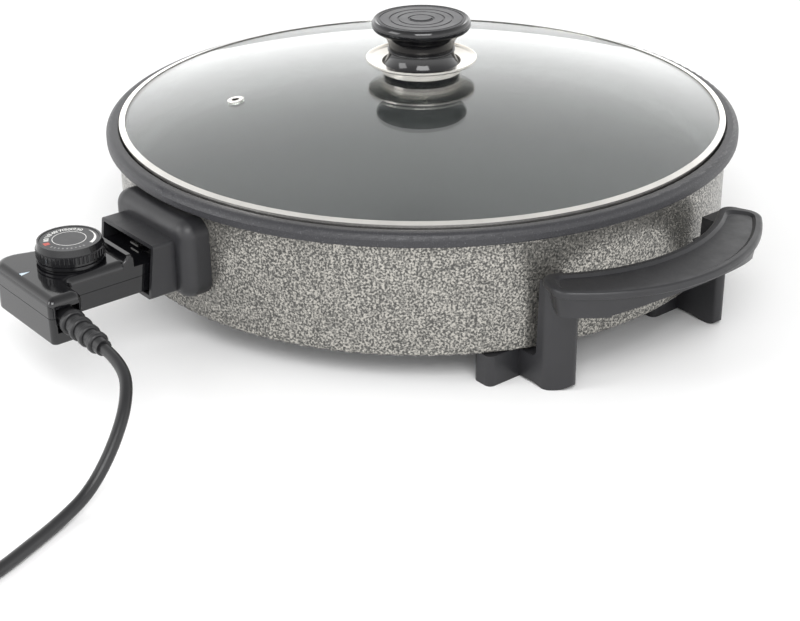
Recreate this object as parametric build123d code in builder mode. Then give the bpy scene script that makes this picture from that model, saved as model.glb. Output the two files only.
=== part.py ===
import os
from math import cos, hypot, pi, radians, sin, sqrt, tan

from build123d import *

os.makedirs("parts", exist_ok=True)

# An electric griddle: a round pan with a heating element held below its floor, two
# handle mouldings that are also its feet, a glass lid, and a plug-in temperature
# controller with its mains lead. Millimetres. The origin is on the table under the
# middle of the pan, +Z is up, the controller plugs in from -Y, the handles are at +X, -X.

# ---- Clearances
slip = 0.10            # radial gap of a running fit
seat = 0.10            # gap between faces that rest on each other
loose = 0.30           # gap round a fixed piece in its hole
press = 0.02           # gap of a pressed or screwed fit

# ---- Pan
rim_radius = 211.4
rim_top = 102.0
rim_height = 8.5
rim_land = 8.2         # flat top of the rim
rim_overhang = 7.5     # rim beyond the wall
ledge_drop = 3.4       # lid ledge below the rim top
wall = 3.9
skirt_wall = 3.0
floor_thickness = 4.0
foot_height = 20.0     # table to the lower edge of the skirt
outer_wall = rim_radius - rim_overhang
inner_wall = outer_wall - wall
floor_round = 9.0      # between the cooking floor and the wall
floor_radius = inner_wall - floor_round - 0.5
skirt_inner = outer_wall - skirt_wall
ledge = rim_top - ledge_drop

# ---- Heating element, its pins and the sensor line, all at one height
terminal_height = 54.2
element_diameter = 8.0
element_ring = 125.0   # radius of the ring under the floor
element_bend = 16.0
pin_spacing = 28.0
pin_diameter = 5.0
pin_length = 20.0      # free length in the socket
rib_wall = 2.4
rib_height = 7.5
pin_embed = 11.0       # of a pin, inside the end of the sheath
bead_length = 5.5
element_radius = element_diameter / 2
floor_under = terminal_height + element_radius + seat
floor_top = floor_under + floor_thickness
pin_x = pin_spacing / 2

# ---- Socket: a saddle on the wall and a rectangular collar round the controller's neck
neck_half = 24.5
collar_wall = 2.4
collar_gap = 3.1       # on each side of the neck
collar_width = 2 * (neck_half + collar_gap + collar_wall)
collar_low = terminal_height - 10.7
collar_high = terminal_height + 23.2
saddle_margin = 11.0   # saddle beyond the collar, on each side
saddle_width = collar_width + 2 * saddle_margin
saddle_low = terminal_height - 15.7
saddle_high = terminal_height + 35.8
saddle_depth = 14.1    # wall to saddle front
saddle_corner = 11.0
saddle_round = 9.0
saddle_root = 14.0     # how far it reaches in to meet the curved wall
saddle_screw = 4.0
collar_reach = 14.0    # at its upper edge
collar_slant = 4.6     # how much further the lower edge reaches
saddle_front = -(outer_wall + saddle_depth)

# ---- Sensor probe
probe_diameter = 6.0
probe_reach = 66.0     # beyond the saddle front, into the pan
probe_tip = saddle_front + probe_reach
guide_inner_end = probe_tip + 4.0
guide_radius = element_radius
guide_bore = probe_diameter / 2 + slip

# ---- Handle mouldings
grip_top = rim_top - 28.0
grip_plate = 5.0
grip_outer_reach = rim_radius + 50.6
grip_inner_reach = rim_radius + 15.1
grip_outer_radius = 118.0
grip_inner_radius = 120.0
grip_half_inner = 79.0
grip_half_outer = 88.0
grip_border = 3.2
grip_depth = 13.0      # of the body under the plate, at the legs
grip_flare = 0.15      # inward run of that body's sides per unit of depth
grip_dish = 1.4
leg_near = 61.0        # leg sides, away from the middle of the handle
leg_far = 78.0
leg_depth = 23.0
leg_slant = 16.0       # how much the outer face turns in towards the handle's end
leg_toe = 12.0         # radius of the foot's outer edge
gusset = 9.0           # radius where a leg meets the grip
leg_inner = outer_wall - 4.9
leg_outer = leg_inner + leg_depth
arm_top = foot_height - 1.0
arm_low = 1.5
bar_width = 15.0
bar_outer = skirt_inner - 17.9
bar_inner = bar_outer - bar_width
bar_near = 40.0
bar_far = 101.0
pillar_x = bar_outer - 11.0
pillar_y = 68.0
pillar_radius = 8.0
boss_height = 6.5
boss_bite = 1.5        # of the screw hole, into the floor
handle_screw = 5.0
handle_screw_grip = 14.0   # moulding between the screw's head and the boss

# ---- Lid
dome_span = 198.0
dome_rise = 23.0
glass = 4.0
band = 0.6
band_gap = 0.6         # band to the rim's inner side
band_lip = 4.0
lid_hole = 9.0
vent_x = -56.0
vent_y = -112.5
vent_flange = 5.5
vent_tube = 3.3
vent_sheet = 0.8
dome_radius = (dome_span**2 + dome_rise**2) / (2 * dome_rise)
rim_inner = rim_radius - rim_land
band_outer = rim_inner - band_gap
glass_edge = band_outer - band - seat
band_bottom = ledge + seat
glass_low = band_bottom + band + seat
dome_centre = glass_low - sqrt((dome_radius - glass)**2 - glass_edge**2)
apex = dome_centre + dome_radius

# ---- Knob
knob_radius = 33.0
knob_waist = 21.5
knob_base = 26.2
knob_height = 37.0     # above the top of the glass
knob_recess = 2.4
cap_radius = knob_radius - 3.7
cap_height = 2.2
cap_grooves = (28.2, 21.4, 15.8, 8.9)
cap_notch = 7.4        # radius of the crescent in the middle
plate_radius = knob_radius + 4.0
plate_sheet = 0.8
plate_step = knob_base + plate_sheet + seat
gasket = 0.8
lid_screw = 5.0
insert_radius = 4.0

# ---- Controller
dial_radius = 20.4
dial_top_radius = dial_radius - 1.5
dial_height = 13.3
neck_low = terminal_height - 6.1
neck_high = terminal_height + 11.5
neck_end = saddle_front - 3.0
neck_shoulder = saddle_front - 25.0
dial_y = neck_shoulder - dial_radius - 7.3
bar_half = neck_half + 18.5         # on the lead's side
blunt_half = neck_half + 7.5        # on the other side
bar_front = dial_y - 17.0
bar_rear = dial_y - dial_radius - 17.6
bar_low = terminal_height - 12.2
deck = terminal_height + 16.4      # top of the controller
deck_round = 5.0
parting = terminal_height + 4.5
lip_high = terminal_height + 20.0
seam = 0.3             # between the two shells
shell = 2.2
case_screw = 3.0
case_boss = 3.6        # radius
dial_ribs = 48
spindle = 6.0
pocket = 5.0           # recess in the end face round the lead

# ---- Mains lead
lead = 7.0
boot_length = 44.0
boot_droop = 4.5       # degrees
boot_y = bar_rear + 11.0
boot_z = terminal_height + 2.5
coil_radius = 38.5     # middle of the turns
coil_width = 21.2
coil_height = 14.4
coil_x = 131.0
coil_y = -466.0
plug_x = -12.0
plug_y = -519.0
plug_heading = 8.0     # degrees from -X
plug_radius = 18.5
plug_body_length = 46.0
plug_pin = 4.8
plug_pin_embed = 10.0
plug_pin_length = 19.0
plug_pin_spacing = 19.0


def save(piece, name):
    """Label a finished piece and write it."""
    piece.part.label = name
    export_step(piece.part, f"parts/{name}.step")


def dome(radius, depth=0.0):
    """Height of the glass at a radius, at a depth below its outer surface."""
    return dome_centre + sqrt((dome_radius - depth)**2 - radius**2)


def at(sketch, x, y):
    """The corner of a sketch nearest to a point."""
    return sketch.vertices().sort_by_distance((x, y, 0))[0]


def turned(name, outline):
    """A piece turned about the Z axis from a closed outline of (radius, height)."""
    with BuildPart() as piece:
        with BuildSketch(Plane.XZ):
            with BuildLine():
                Polyline(*outline, close=True)
            make_face()
        revolve(axis=Axis.Z)
    save(piece, name)


# ======================================================================= Pan
socket_holes = [(-pin_x, terminal_height), (0, terminal_height), (pin_x, terminal_height)]
boss_places = [(sx * pillar_x, sy * pillar_y) for sx in (1, -1) for sy in (1, -1)]
saddle_screw_x = collar_width / 2 + 1.0
saddle_screws = [(sx * saddle_screw_x, saddle_low + 6.0) for sx in (-1, 1)]
inner_rib = element_ring - element_radius - loose
outer_rib = element_ring + element_radius + loose

with BuildPart() as pan:
    with BuildSketch(Plane.XZ) as pan_section:
        with BuildLine():
            Polyline(
                (0, floor_under),
                (skirt_inner, floor_under),
                (skirt_inner, foot_height),
                (outer_wall, foot_height),
                (outer_wall, rim_top - rim_height),
                (rim_radius, rim_top - rim_height),
                (rim_radius, rim_top),
                (rim_inner, rim_top),
                (rim_inner, ledge),
                (inner_wall, ledge),
                (inner_wall, floor_top),
                (0, floor_top),
                close=True,
            )
        make_face()
        fillet(at(pan_section, rim_radius, rim_top), 4.0)
        fillet(at(pan_section, rim_radius, rim_top - rim_height), 1.2)
        fillet(at(pan_section, rim_inner, rim_top), 0.8)
        fillet(at(pan_section, outer_wall, foot_height), 2.2)
        fillet(at(pan_section, inner_wall, floor_top), floor_round)
        fillet(at(pan_section, skirt_inner, floor_under), 3.0)
    revolve(axis=Axis.Z)
    # Two cast ribs hold the element between them; the outer one opens where it leaves.
    with BuildSketch(Plane.XY.offset(floor_under)):
        Circle(outer_rib + rib_wall)
        Circle(outer_rib, mode=Mode.SUBTRACT)
        with Locations((0, -element_ring)):
            Rectangle(4 * element_bend + pin_spacing, 2 * element_bend, mode=Mode.SUBTRACT)
        Circle(inner_rib)
        Circle(inner_rib - rib_wall, mode=Mode.SUBTRACT)
    extrude(amount=-rib_height)
    with BuildSketch(Plane.XY.offset(floor_under)):
        with Locations(*boss_places):
            Circle(pillar_radius)
    extrude(amount=-boss_height)
    with BuildSketch(Plane.XY.offset(floor_under - boss_height)):
        with Locations(*boss_places):
            Circle(handle_screw / 2)
    extrude(amount=boss_height + boss_bite, mode=Mode.SUBTRACT)
    with BuildSketch(Plane.XZ.offset(inner_wall - 20)):
        with Locations(*socket_holes):
            Circle(element_radius + seat)
        with Locations(*saddle_screws):
            Circle(saddle_screw / 2 + loose)
    extrude(amount=40, mode=Mode.SUBTRACT)
# The wall and the heated floor are nodes of their own, and meet at this radius
floor_disc = Cylinder(floor_radius, 2 * rim_top)
with BuildPart() as pan_floor:
    add(pan.part)
    add(floor_disc, mode=Mode.INTERSECT)
save(pan_floor, "pan_floor")

with BuildPart() as pan_wall:
    add(pan.part)
    add(floor_disc, mode=Mode.SUBTRACT)
save(pan_wall, "pan_body")

# ---- Heating element: a ring with two tails that leave side by side at -Y
bend_x = pin_x + element_bend
bend_y = -sqrt((element_ring + element_bend)**2 - bend_x**2)
ring_share = element_ring / (element_ring + element_bend)
sheath_end = saddle_front + 4.0

with BuildPart() as element:
    with BuildLine(Plane.XY.offset(terminal_height)) as element_line:
        tail = Line((pin_x, sheath_end), (pin_x, bend_y))
        turn = TangentArc(tail @ 1, (bend_x * ring_share, bend_y * ring_share), tangent=tail % 1)
        ring = ThreePointArc(turn @ 1, (0, element_ring), (-bend_x * ring_share, bend_y * ring_share))
        back = TangentArc(ring @ 1, (-pin_x, bend_y), tangent=ring % 1)
        Line(back @ 1, (-pin_x, sheath_end))
    with BuildSketch(Plane(origin=tail @ 0, z_dir=tail % 0)):
        Circle(element_radius)
    sweep(path=element_line.line)
    with BuildSketch(Plane.XZ.offset(-sheath_end)):
        with Locations(socket_holes[0], socket_holes[2]):
            Circle(pin_diameter / 2 + seat)
    extrude(amount=-(pin_embed + 1), mode=Mode.SUBTRACT)
save(element, "heating_element")

with BuildPart() as pins:
    with BuildSketch(Plane.XZ.offset(-sheath_end - pin_embed)):
        with Locations(socket_holes[0], socket_holes[2]):
            Circle(pin_diameter / 2)
    extrude(amount=pin_embed + sheath_end - saddle_front + pin_length)
    fillet(pins.faces().sort_by(Axis.Y)[:2].edges(), 1.2)
save(pins, "terminal_pins")

with BuildPart() as beads:
    with BuildSketch(Plane.XZ.offset(-sheath_end + seat)):
        with Locations(socket_holes[0], socket_holes[2]):
            Circle(element_radius)
            Circle(pin_diameter / 2 + seat, mode=Mode.SUBTRACT)
    extrude(amount=bead_length)
save(beads, "terminal_beads")

with BuildPart() as guide:
    with BuildSketch(Plane.XZ.offset(-guide_inner_end)):
        with Locations((0, terminal_height)):
            Circle(guide_radius)
            Circle(guide_bore, mode=Mode.SUBTRACT)
    extrude(amount=guide_inner_end - saddle_front - 1.0)
save(guide, "probe_guide")

# ---- Socket housing: saddle, collar and the holes for pins and guide
with BuildPart() as socket:
    with BuildSketch(Plane.XZ.offset(outer_wall - saddle_root)):
        with Locations((0, (saddle_low + saddle_high) / 2)):
            RectangleRounded(saddle_width, saddle_high - saddle_low, saddle_corner)
    extrude(amount=saddle_depth + saddle_root)
    fillet(socket.faces().sort_by(Axis.Y)[0].edges(), saddle_round)
    with BuildSketch(Plane.XZ.offset(-saddle_front - 3)):
        with Locations((0, (collar_low + collar_high) / 2)):
            RectangleRounded(collar_width, collar_high - collar_low, 2.0)
    extrude(amount=collar_reach + collar_slant + 3)
    with BuildSketch(Plane.YZ):
        Polygon(
            (saddle_front - collar_reach, collar_high),
            (saddle_front - collar_reach - collar_slant, collar_low),
            (saddle_front - collar_reach - 3 * collar_slant, collar_low),
            (saddle_front - collar_reach - 3 * collar_slant, collar_high),
            align=None,
        )
    extrude(amount=collar_width, both=True, mode=Mode.SUBTRACT)
    with BuildSketch(Plane.XZ.offset(-saddle_front)):
        with Locations((0, (collar_low + collar_high) / 2)):
            Rectangle(collar_width - 2 * collar_wall, collar_high - collar_low - 2 * collar_wall)
    extrude(amount=collar_reach + 2 * collar_slant, mode=Mode.SUBTRACT)
    with BuildSketch(Plane.XZ.offset(outer_wall - saddle_root)):
        with Locations(*socket_holes):
            Circle(element_radius + seat)
    extrude(amount=2 * (saddle_depth + saddle_root), mode=Mode.SUBTRACT)
    with BuildSketch(Plane.XZ.offset(outer_wall - saddle_root)):
        with Locations(*saddle_screws):
            Circle(saddle_screw / 2 + seat)
    extrude(amount=saddle_root + 8, mode=Mode.SUBTRACT)
    with BuildSketch(Plane.XY):
        Circle(outer_wall + seat)
    extrude(amount=rim_top, mode=Mode.SUBTRACT)
save(socket, "socket_housing")

screw_head = 0.9 * saddle_screw
screw_head_height = 2.4
head_seat = sqrt(skirt_inner**2 - (saddle_screws[1][0] + screw_head)**2) - seat
with BuildPart() as saddle_fixings:
    with BuildSketch(Plane.XZ.offset(head_seat - screw_head_height)):
        with Locations(*saddle_screws):
            Circle(screw_head)
    extrude(amount=screw_head_height)
    with BuildSketch(Plane.XZ.offset(head_seat)):
        with Locations(*saddle_screws):
            Circle(saddle_screw / 2)
    extrude(amount=skirt_wall + 8.0)
save(saddle_fixings, "socket_screws")

earth_low = neck_high + 1.4
earth_width = 9.0
earth_reach = 10.0
earth_sheet = 1.2
with BuildPart() as earth:
    with BuildSketch(Plane.XY.offset(earth_low)):
        with Locations((0, saddle_front - earth_reach / 2)):
            Rectangle(earth_width, earth_reach)
    extrude(amount=earth_sheet)
    with BuildSketch(Plane.XZ.offset(-saddle_front)):
        with Locations((0, earth_low + earth_reach / 4)):
            Rectangle(earth_width, earth_reach / 2)
    extrude(amount=earth_sheet)
save(earth, "earth_blade")

# ======================================================================= Handles
def edge_x(reach, radius, y):
    """Where an arc through (reach, 0), centred on the X axis, stands at a given y."""
    return reach - radius + sqrt(radius**2 - y**2)


def crescent(inset):
    """Plan of the grip, smaller by an inset all round."""
    inner_half = grip_half_inner - inset
    outer_half = grip_half_outer - inset
    inner_reach = grip_inner_reach + inset
    outer_reach = grip_outer_reach - inset
    inner_x = edge_x(inner_reach, grip_inner_radius + inset, inner_half)
    outer_x = edge_x(outer_reach, grip_outer_radius - inset, outer_half)
    with BuildSketch() as plan:
        with BuildLine():
            ThreePointArc((inner_x, -inner_half), (inner_reach, 0), (inner_x, inner_half))
            Line((inner_x, inner_half), (outer_x, outer_half))
            ThreePointArc((outer_x, outer_half), (outer_reach, 0), (outer_x, -outer_half))
            Line((outer_x, -outer_half), (inner_x, -inner_half))
        make_face()
        ends = plan.vertices().sort_by(Axis.X)
        fillet(ends[:2], 8.0 - inset / 2)
        fillet(plan.vertices().sort_by_distance((outer_x, outer_half, 0))[0], 12.0 - inset)
        fillet(plan.vertices().sort_by_distance((outer_x, -outer_half, 0))[0], 12.0 - inset)
    return plan.sketch


plate_low = grip_top - grip_plate
pillar_top = floor_under - boss_height - seat
head_level = pillar_top - handle_screw_grip
with BuildPart() as handle:
    # The leg, the arm below the pan and the foot, as one J-shaped profile on each side
    for plane in (Plane.XZ.offset(-leg_far), Plane.XZ.offset(leg_near)):
        with BuildSketch(plane) as leg:
            with BuildLine():
                Polyline(
                    (bar_inner, arm_low),
                    (leg_inner - 3, arm_low),
                    (leg_inner + 4, 0),
                    (leg_outer - 2, 0),
                    (leg_outer, plate_low + 1),
                    (leg_inner, plate_low + 1),
                    (leg_inner - 1.5, arm_top),
                    (bar_inner, arm_top),
                    close=True,
                )
            make_face()
            fillet(at(leg, leg_inner - 1.5, arm_top), 4.0)
            fillet(at(leg, leg_outer - 2, 0), leg_toe)
        extrude(amount=leg_far - leg_near)
    # Seen from above, the outer face of each leg slants in towards the handle's end
    with BuildSketch() as leg_plan:
        for side in (1, -1):
            Polygon(
                (bar_inner, side * leg_near),
                (leg_outer, side * leg_near),
                (leg_outer - leg_slant, side * leg_far),
                (bar_inner, side * leg_far),
                align=None,
            )
        for side in (1, -1):
            fillet(at(leg_plan, leg_outer, side * leg_near), 4.0)
            fillet(at(leg_plan, leg_outer - leg_slant, side * leg_far), 7.0)
    extrude(amount=grip_top, mode=Mode.INTERSECT)
    # Foot bars that follow the pan's edge and carry it
    with BuildSketch():
        for y in (-1, 1):
            with Locations(((bar_inner + bar_outer) / 2, y * (bar_near + bar_far) / 2)):
                RectangleRounded(bar_outer - bar_inner, bar_far - bar_near, 4.0)
    extrude(amount=foot_height - seat)
    # Grip: a dished plate on a tapering body that is deepest at the legs
    with BuildSketch(Plane.XY.offset(plate_low)):
        add(crescent(2.0))
    with BuildSketch(Plane.XY.offset(plate_low - grip_depth)):
        add(crescent(2.0 + grip_depth * grip_flare))
    loft(ruled=True)
    with BuildSketch(Plane.YZ.offset(leg_inner - 20)):
        with BuildLine():
            arch = ThreePointArc(
                (-leg_near, plate_low - grip_depth + 1),
                (0, plate_low - 1.5),
                (leg_near, plate_low - grip_depth + 1),
            )
            Polyline(arch @ 1, (leg_near, bar_near), (-leg_near, bar_near), arch @ 0)
        make_face()
    extrude(amount=100, mode=Mode.SUBTRACT)
    arch_foot = plate_low - grip_depth + 1
    with BuildSketch(Plane.YZ.offset(leg_inner + 1)):
        for side in (1, -1):
            with BuildLine():
                curve = ThreePointArc(
                    (side * (leg_near - gusset), arch_foot),
                    (side * (leg_near - 0.29 * gusset), arch_foot - 0.29 * gusset),
                    (side * leg_near, arch_foot - gusset),
                )
                Polyline(
                    curve @ 1,
                    (side * (leg_near + 1), arch_foot - gusset),
                    (side * (leg_near + 1), arch_foot + 1),
                    (side * (leg_near - gusset), arch_foot + 1),
                    curve @ 0,
                )
            make_face()
    extrude(amount=leg_depth - 4)
    with BuildPart(mode=Mode.PRIVATE) as tray:
        with BuildSketch(Plane.XY.offset(plate_low)):
            add(crescent(0))
        extrude(amount=grip_plate)
        fillet(tray.faces().sort_by(Axis.Z)[-1].edges(), 1.8)
        fillet(tray.faces().sort_by(Axis.Z)[0].edges(), 1.2)
        with BuildSketch(Plane.XY.offset(grip_top)):
            add(crescent(grip_border + 1.0))
        with BuildSketch(Plane.XY.offset(grip_top - grip_dish)):
            add(crescent(grip_border + 3.0))
        loft(ruled=True, mode=Mode.SUBTRACT)
    add(tray.part)
    # Pillars up to the bosses under the floor, with a screw from below in each
    with BuildSketch(Plane.XY.offset(arm_top - 4)):
        with Locations((pillar_x, pillar_y), (pillar_x, -pillar_y)):
            Circle(pillar_radius)
    extrude(amount=pillar_top - arm_top + 4)
    with BuildSketch():
        with Locations((pillar_x, pillar_y), (pillar_x, -pillar_y)):
            Circle(handle_screw + slip)
    extrude(amount=head_level, mode=Mode.SUBTRACT)
    with BuildSketch():
        with Locations((pillar_x, pillar_y), (pillar_x, -pillar_y)):
            Circle(handle_screw / 2 + slip)
    extrude(amount=pillar_top + 5, mode=Mode.SUBTRACT)
save(handle, "handle_right")

with BuildPart() as handle_left:
    add(mirror(handle.part, about=Plane.YZ))
save(handle_left, "handle_left")

screw_end = floor_under + boss_bite - 1.0
screw_socket = 1.6
with BuildPart() as handle_screws:
    with BuildSketch(Plane.XY.offset(head_level - 3.0)):
        with Locations(*boss_places):
            Circle(handle_screw - 0.5)
            RegularPolygon(screw_socket, 6, mode=Mode.SUBTRACT)
    extrude(amount=2.0)
    with BuildSketch(Plane.XY.offset(head_level - 1.0)):
        with Locations(*boss_places):
            Circle(handle_screw - 0.5)
    extrude(amount=1.0)
    with BuildSketch(Plane.XY.offset(head_level)):
        with Locations(*boss_places):
            Circle(handle_screw / 2)
    extrude(amount=screw_end - head_level)
save(handle_screws, "handle_screws")

# ======================================================================= Lid
with BuildPart() as lid_glass:
    hole = lid_hole / 2
    middle = glass_edge / 2
    with BuildSketch(Plane.XZ):
        with BuildLine():
            ThreePointArc(
                (hole, dome(hole)), (middle, dome(middle)), (glass_edge, dome(glass_edge))
            )
            Line((glass_edge, dome(glass_edge)), (glass_edge, dome(glass_edge, glass)))
            ThreePointArc(
                (glass_edge, dome(glass_edge, glass)),
                (middle, dome(middle, glass)),
                (hole, dome(hole, glass)),
            )
            Line((hole, dome(hole, glass)), (hole, dome(hole)))
        make_face()
    revolve(axis=Axis.Z)
    vent_radius = hypot(vent_x, vent_y)
    vent_normal = Vector(vent_x, vent_y, dome(vent_radius) - dome_centre).normalized()
    vent_plane = Plane(origin=(vent_x, vent_y, dome(vent_radius)), z_dir=vent_normal)
    with BuildSketch(vent_plane):
        Circle(vent_tube + seat)
    extrude(amount=glass + 2, both=True, mode=Mode.SUBTRACT)
save(lid_glass, "lid_glass")

band_inner = band_outer - band_lip
flat = band_bottom + band
turned("lid_band", [
    (band_inner, dome(band_inner) + seat),
    (band_outer - band, dome(band_outer - band) + seat),
    (band_outer - band, flat),
    (band_inner + 1, flat),
    (band_inner + 1, band_bottom),
    (band_outer, band_bottom),
    (band_outer, dome(band_outer) + seat + band),
    (band_inner, dome(band_inner) + seat + band),
])

with BuildPart() as vent:
    with BuildSketch(vent_plane.offset(-glass - 1.2)):
        Circle(vent_tube)
        Circle(vent_tube - vent_sheet, mode=Mode.SUBTRACT)
    extrude(amount=glass + 1.6)
    for level in (0.05, -glass - vent_sheet - 0.1):
        with BuildSketch(vent_plane.offset(level)):
            Circle(vent_flange)
            Circle(vent_tube - vent_sheet, mode=Mode.SUBTRACT)
        extrude(amount=vent_sheet)
    fillet(vent.faces().sort_by(Axis.Z)[-1].edges(), 0.3)
save(vent, "lid_vent")

# ---- Knob stack, from the glass upwards and from the glass downwards
screw_bore = lid_screw / 2 + seat
plate_floor = apex + gasket
turned("lid_gasket", [
    (screw_bore, apex),
    (12.0, apex),
    (12.0, plate_floor),
    (screw_bore, plate_floor),
])
step_high = apex + 8.0
turned("knob_plate", [
    (screw_bore, plate_floor),
    (plate_step - 1.5, plate_floor),
    (plate_step, plate_floor + 1.5),
    (plate_step, step_high - plate_sheet),
    (plate_radius - 0.8, step_high + 0.9),
    (plate_radius, step_high + 1.7),
    (plate_radius, step_high + 3.0),
    (plate_radius - plate_sheet, step_high + 3.0),
    (plate_radius - plate_sheet, step_high + 2.0),
    (plate_radius - 1.4, step_high + 1.6),
    (plate_step - plate_sheet, step_high + 0.2),
    (plate_step - plate_sheet, plate_floor + 2.0),
    (plate_step - 2.0, plate_floor + plate_sheet),
    (screw_bore, plate_floor + plate_sheet),
])

knob_low = plate_floor + plate_sheet + seat
insert_top = apex + 20.0
waist_height = apex + 16.3
recess = apex + knob_height - knob_recess
with BuildPart() as knob:
    with BuildSketch(Plane.XZ) as knob_section:
        with BuildLine():
            under = Polyline(
                (0, recess),
                (0, insert_top),
                (insert_radius + seat, insert_top),
                (insert_radius + seat, knob_low),
                (knob_base - 2.0, knob_low),
                (knob_base - 0.4, knob_low + 1.6),
                (knob_base, apex + 6.5),
            )
            flare = ThreePointArc(
                under @ 1, (knob_waist, waist_height), (knob_radius - 3.0, apex + 29.4)
            )
            crown = ThreePointArc(
                flare @ 1,
                (knob_radius, apex + 33.4),
                (cap_radius + 1.8, apex + knob_height),
            )
            Polyline(crown @ 1, (cap_radius + seat, apex + knob_height - 0.5),
                     (cap_radius + seat, recess), (0, recess))
        make_face()
    revolve(axis=Axis.Z)
    with BuildSketch(Plane.XZ):
        with Locations((knob_waist + 0.2, waist_height)):
            RectangleRounded(1.6, 1.4, 0.5)
    revolve(axis=Axis.Z)
save(knob, "lid_knob")

with BuildPart() as cap:
    cap_low = recess + 0.05
    cap_top = cap_low + cap_height
    with BuildSketch(Plane.XY.offset(cap_low)):
        Circle(cap_radius)
    extrude(amount=cap_height)
    fillet(cap.faces().sort_by(Axis.Z)[-1].edges(), 0.6)
    for groove in cap_grooves:
        with BuildSketch(Plane.XY.offset(cap_top - 0.5)):
            Circle(groove)
            Circle(groove - 1.2, mode=Mode.SUBTRACT)
        extrude(amount=1.0, mode=Mode.SUBTRACT)
    with BuildSketch(Plane.XY.offset(cap_top - 0.8)):
        Circle(cap_notch)
        with Locations((-0.35 * cap_notch, 0.28 * cap_notch)):
            Circle(cap_notch, mode=Mode.SUBTRACT)
    extrude(amount=1.0, mode=Mode.SUBTRACT)
save(cap, "knob_cap")

under_glass = dome(lid_hole / 2, glass)
seal_radius = 9.0
seal_low = under_glass - 1.0
washer_low = seal_low - 1.2
turned("knob_insert", [
    (lid_screw / 2 + slip / 2, knob_low),
    (insert_radius, knob_low),
    (insert_radius, insert_top - 0.2),
    (lid_screw / 2 + slip / 2, insert_top - 0.2),
])
turned("lid_seal", [
    (screw_bore, seal_low),
    (seal_radius, seal_low),
    (seal_radius, dome(seal_radius, glass) - press),
    (lid_hole / 2, dome(seal_radius, glass) - press),
    (lid_hole / 2 - loose, under_glass + glass - 0.5),
    (screw_bore, under_glass + glass - 0.5),
])
turned("lid_washer", [
    (screw_bore, washer_low),
    (seal_radius - 1, washer_low),
    (seal_radius - 1, seal_low - press),
    (screw_bore, seal_low - press),
])
with BuildPart() as bolt:
    with BuildSketch(Plane.XY.offset(washer_low - press)):
        Circle(lid_screw)
    extrude(amount=-2.6)
    fillet(bolt.faces().sort_by(Axis.Z)[0].edges(), 1.0)
    with BuildSketch(Plane.XY.offset(washer_low - 2.7)):
        Rectangle(5.0, 1.1)
        Rectangle(1.1, 5.0)
    extrude(amount=1.6, mode=Mode.SUBTRACT)
    with BuildSketch(Plane.XY.offset(washer_low - press)):
        Circle(lid_screw / 2)
    extrude(amount=insert_top - 2.0 - washer_low)
save(bolt, "lid_screw")

# ======================================================================= Controller
ramp_start = neck_shoulder - 7.0


def controller_plan(inset):
    """Outline of the controller, a neck that widens to a crossbar, smaller by an inset."""
    neck = neck_half - inset
    half = bar_half - inset
    blunt = blunt_half - inset
    with BuildSketch() as plan:
        with BuildLine():
            Polyline(
                (neck, neck_end - inset),
                (neck, bar_front - inset),
                (half, bar_front - inset),
                (half, bar_rear + inset),
                (-blunt, bar_rear + inset),
                (-blunt, dial_y - 22 - inset / 2),
                (-neck, dial_y + 2 - inset / 2),
                (-neck, neck_end - inset),
                close=True,
            )
        make_face()
        fillet(at(plan, neck, bar_front - inset), 4.0 + inset)
        fillet(at(plan, half, bar_front - inset), 3.5 - inset / 2)
        fillet(at(plan, half, bar_rear + inset), 3.5 - inset / 2)
        fillet(at(plan, -blunt, bar_rear + inset), 12.0 - inset)
        fillet(at(plan, -blunt, dial_y - 22 - inset / 2), 10.0 - inset)
        fillet(at(plan, -neck, dial_y + 2 - inset / 2), 10.0 + inset)
    return plan.sketch


deep_start = bar_front + 1.0          # behind this the case is deeper
case_screws = [
    (5.9 - neck_half, neck_shoulder - 7.0),
    (neck_half - 5.9, neck_shoulder - 7.0),
    (10.0 - blunt_half, bar_rear + 14.5),
    (bar_half - 18.0, bar_rear + 8.0),
]
lens_front = dial_y - dial_radius - 6.5
lens_length = 6.5
wall_x = bar_half - pocket            # outer side of the wall that holds the boot
boot_axis = Vector(cos(radians(boot_droop)), 0, -sin(radians(boot_droop)))
boot_start = Vector(wall_x, boot_y, boot_z)
boot_plane = Plane(origin=boot_start, x_dir=boot_axis, z_dir=(0, -1, 0))
boot_neck = 5.6
boot_hole = boot_neck + seat
cavity_end = wall_x - shell


def beyond(y):
    """A cutting rectangle over everything on the pan's side of a line across the neck."""
    with Locations((0, y + bar_half)):
        Rectangle(4 * bar_half, 2 * bar_half, mode=Mode.SUBTRACT)


with BuildPart() as cavity:
    for low, high, limit in (
        (neck_low, neck_high, neck_end + shell),
        (neck_low, deck, neck_shoulder - shell),
        (bar_low, deck, deep_start - shell),
    ):
        with BuildSketch(Plane.XY.offset(low + shell)):
            add(controller_plan(shell))
            beyond(limit)
        extrude(amount=high - low - 2 * shell)
    # Nothing is hollow behind the wall that holds the boot
    with BuildSketch(Plane.XY.offset(bar_low)):
        with Locations((cavity_end + bar_half, (bar_front + bar_rear) / 2)):
            Rectangle(2 * bar_half, bar_front - bar_rear + 20)
    extrude(amount=deck - bar_low, mode=Mode.SUBTRACT)

boot_recess = Pos((wall_x + bar_half) / 2 + 1, boot_y, boot_z) * Box(pocket + 2, 15, 15)

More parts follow.
